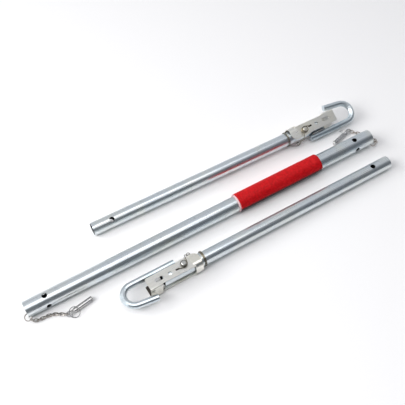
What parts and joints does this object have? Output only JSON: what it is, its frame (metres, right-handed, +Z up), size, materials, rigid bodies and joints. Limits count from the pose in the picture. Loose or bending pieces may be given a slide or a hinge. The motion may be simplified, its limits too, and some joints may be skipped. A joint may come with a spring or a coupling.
{
  "type": "vehicle tow pole",
  "caption": "Take-apart tow pole: centre tube with red warning sleeve and chained locking pins, and hook-ended arm tubes with sprung gates, laid side by side.",
  "frame": {"origin": "on the ground, below the middle of the bounding box of the whole layout", "axes": "+X along the centre tube from its near end to its far end, +Y towards the upper arm, +Z up"},
  "size_m": [0.8074, 0.2206, 0.0436],
  "materials": {
    "tube_zinc": "bright zinc plate with drawn lines along the tube",
    "bar_zinc": "bright bluish zinc plate",
    "sheet_zinc": "warm yellowish zinc plate on pressed sheet",
    "chain_zinc": "dull zinc on wire",
    "rivet_zinc": "zinc plate, slightly rough",
    "spring_steel": "bare spring wire",
    "pin_steel": "turned and zinc plated",
    "weld": "rippled weld, plated over",
    "nylon": "natural nylon washer",
    "red_wrap": "signal red PVC sheet, soft gloss"
  },
  "bodies": {
    "centre": {"centre_tube": "tube_zinc", "warning_sleeve": "red_wrap", "near_anchor_ring": "chain_zinc", "far_anchor_ring": "chain_zinc"},
    "upper_arm": {"upper_arm_tube": "tube_zinc", "upper_hook_bar": "bar_zinc", "upper_weld_bead_top": "weld", "upper_weld_bead_bottom": "weld", "upper_pivot_rivet": "rivet_zinc", "upper_shim_top": "nylon", "upper_shim_bottom": "nylon", "upper_gate_spring_coil": "spring_steel"},
    "upper_gate": {"upper_gate": "sheet_zinc", "upper_gate_spring_leg": "spring_steel"},
    "lower_arm": {"lower_arm_tube": "tube_zinc", "lower_hook_bar": "bar_zinc", "lower_weld_bead_top": "weld", "lower_weld_bead_bottom": "weld", "lower_pivot_rivet": "rivet_zinc", "lower_shim_top": "nylon", "lower_shim_bottom": "nylon", "lower_gate_spring_coil": "spring_steel"},
    "lower_gate": {"lower_gate": "sheet_zinc", "lower_gate_spring_leg": "spring_steel"},
    "near_chain": {"near_chain_link_1": "chain_zinc", "near_chain_link_2": "chain_zinc", "near_chain_link_3": "chain_zinc", "near_chain_link_4": "chain_zinc", "near_chain_link_5": "chain_zinc", "near_chain_link_6": "chain_zinc", "near_chain_link_7": "chain_zinc", "near_chain_link_8": "chain_zinc", "near_chain_link_9": "chain_zinc", "near_chain_link_10": "chain_zinc", "near_chain_link_11": "chain_zinc"},
    "near_pin": {"near_pin": "pin_steel", "near_detent_spring": "spring_steel"},
    "near_ball": {"near_detent_ball": "pin_steel"},
    "near_ring": {"near_pull_ring": "pin_steel"},
    "far_chain": {"far_chain_link_1": "chain_zinc", "far_chain_link_2": "chain_zinc", "far_chain_link_3": "chain_zinc", "far_chain_link_4": "chain_zinc", "far_chain_link_5": "chain_zinc", "far_chain_link_6": "chain_zinc", "far_chain_link_7": "chain_zinc", "far_chain_link_8": "chain_zinc", "far_chain_link_9": "chain_zinc", "far_chain_link_10": "chain_zinc", "far_chain_link_11": "chain_zinc"},
    "far_pin": {"far_pin": "pin_steel", "far_detent_spring": "spring_steel"},
    "far_ball": {"far_detent_ball": "pin_steel"},
    "far_ring": {"far_pull_ring": "pin_steel"}
  },
  "joints": [
    {"name": "upper_arm_lift", "type": "slide", "parent": "centre", "child": "upper_arm", "axis": [0, 0, 1], "range_m": [0, 0.12]},
    {"name": "upper_gate_swing", "type": "hinge", "parent": "upper_arm", "child": "upper_gate", "pos_m": [0.27088, 0.08066, 0.02108], "axis": [0.0237, 0.4063, -0.9134], "range_deg": [0, 16], "stiffness_Nm_per_rad": 0.3, "springref_deg": -34.38},
    {"name": "lower_arm_lift", "type": "slide", "parent": "centre", "child": "lower_arm", "axis": [0, 0, 1], "range_m": [0, 0.12]},
    {"name": "lower_gate_swing", "type": "hinge", "parent": "lower_arm", "child": "lower_gate", "pos_m": [-0.10787, -0.07588, 0.01878], "axis": [-0.0108, -0.0001, -0.9999], "range_deg": [0, 16], "stiffness_Nm_per_rad": 0.3, "springref_deg": -34.38},
    {"name": "near_chain_lift", "type": "hinge", "parent": "centre", "child": "near_chain", "pos_m": [-0.39637, -0.02186, 0.00794], "axis": [0, -1, 0], "range_deg": [0, 11]},
    {"name": "near_pin_swing", "type": "hinge", "parent": "near_chain", "child": "near_pin", "pos_m": [-0.33132, -0.04332, 0.00484], "axis": [0.1564, -0.9877, 0], "range_deg": [0, 18]},
    {"name": "near_pull_ring_swing", "type": "hinge", "parent": "near_pin", "child": "near_ring", "pos_m": [-0.32943, -0.04443, 0.00485], "axis": [-0.1259, -0.8263, -0.5489], "range_deg": [0, 35]},
    {"name": "near_detent_press", "type": "slide", "parent": "near_pin", "child": "near_ball", "axis": [-0.1564, 0.9877, 0], "range_m": [0, 0.0007], "stiffness_N_per_m": 800, "springref_m": -0.001},
    {"name": "far_chain_lift", "type": "hinge", "parent": "centre", "child": "far_chain", "pos_m": [0.3911, -0.01583, 0.01565], "axis": [1, 0, 0], "range_deg": [0, 5]},
    {"name": "far_pin_swing", "type": "hinge", "parent": "far_chain", "child": "far_pin", "pos_m": [0.36978, 0.04098, 0.00485], "axis": [-0.2554, 0.9668, 0], "range_deg": [0, 50]},
    {"name": "far_pull_ring_swing", "type": "hinge", "parent": "far_pin", "child": "far_ring", "pos_m": [0.36807, 0.04237, 0.00485], "axis": [0.0418, 0.8348, -0.5489], "range_deg": [0, 20]},
    {"name": "far_detent_press", "type": "slide", "parent": "far_pin", "child": "far_ball", "axis": [0.2554, -0.9668, 0], "range_m": [0, 0.0007], "stiffness_N_per_m": 800, "springref_m": -0.001}
  ]
}
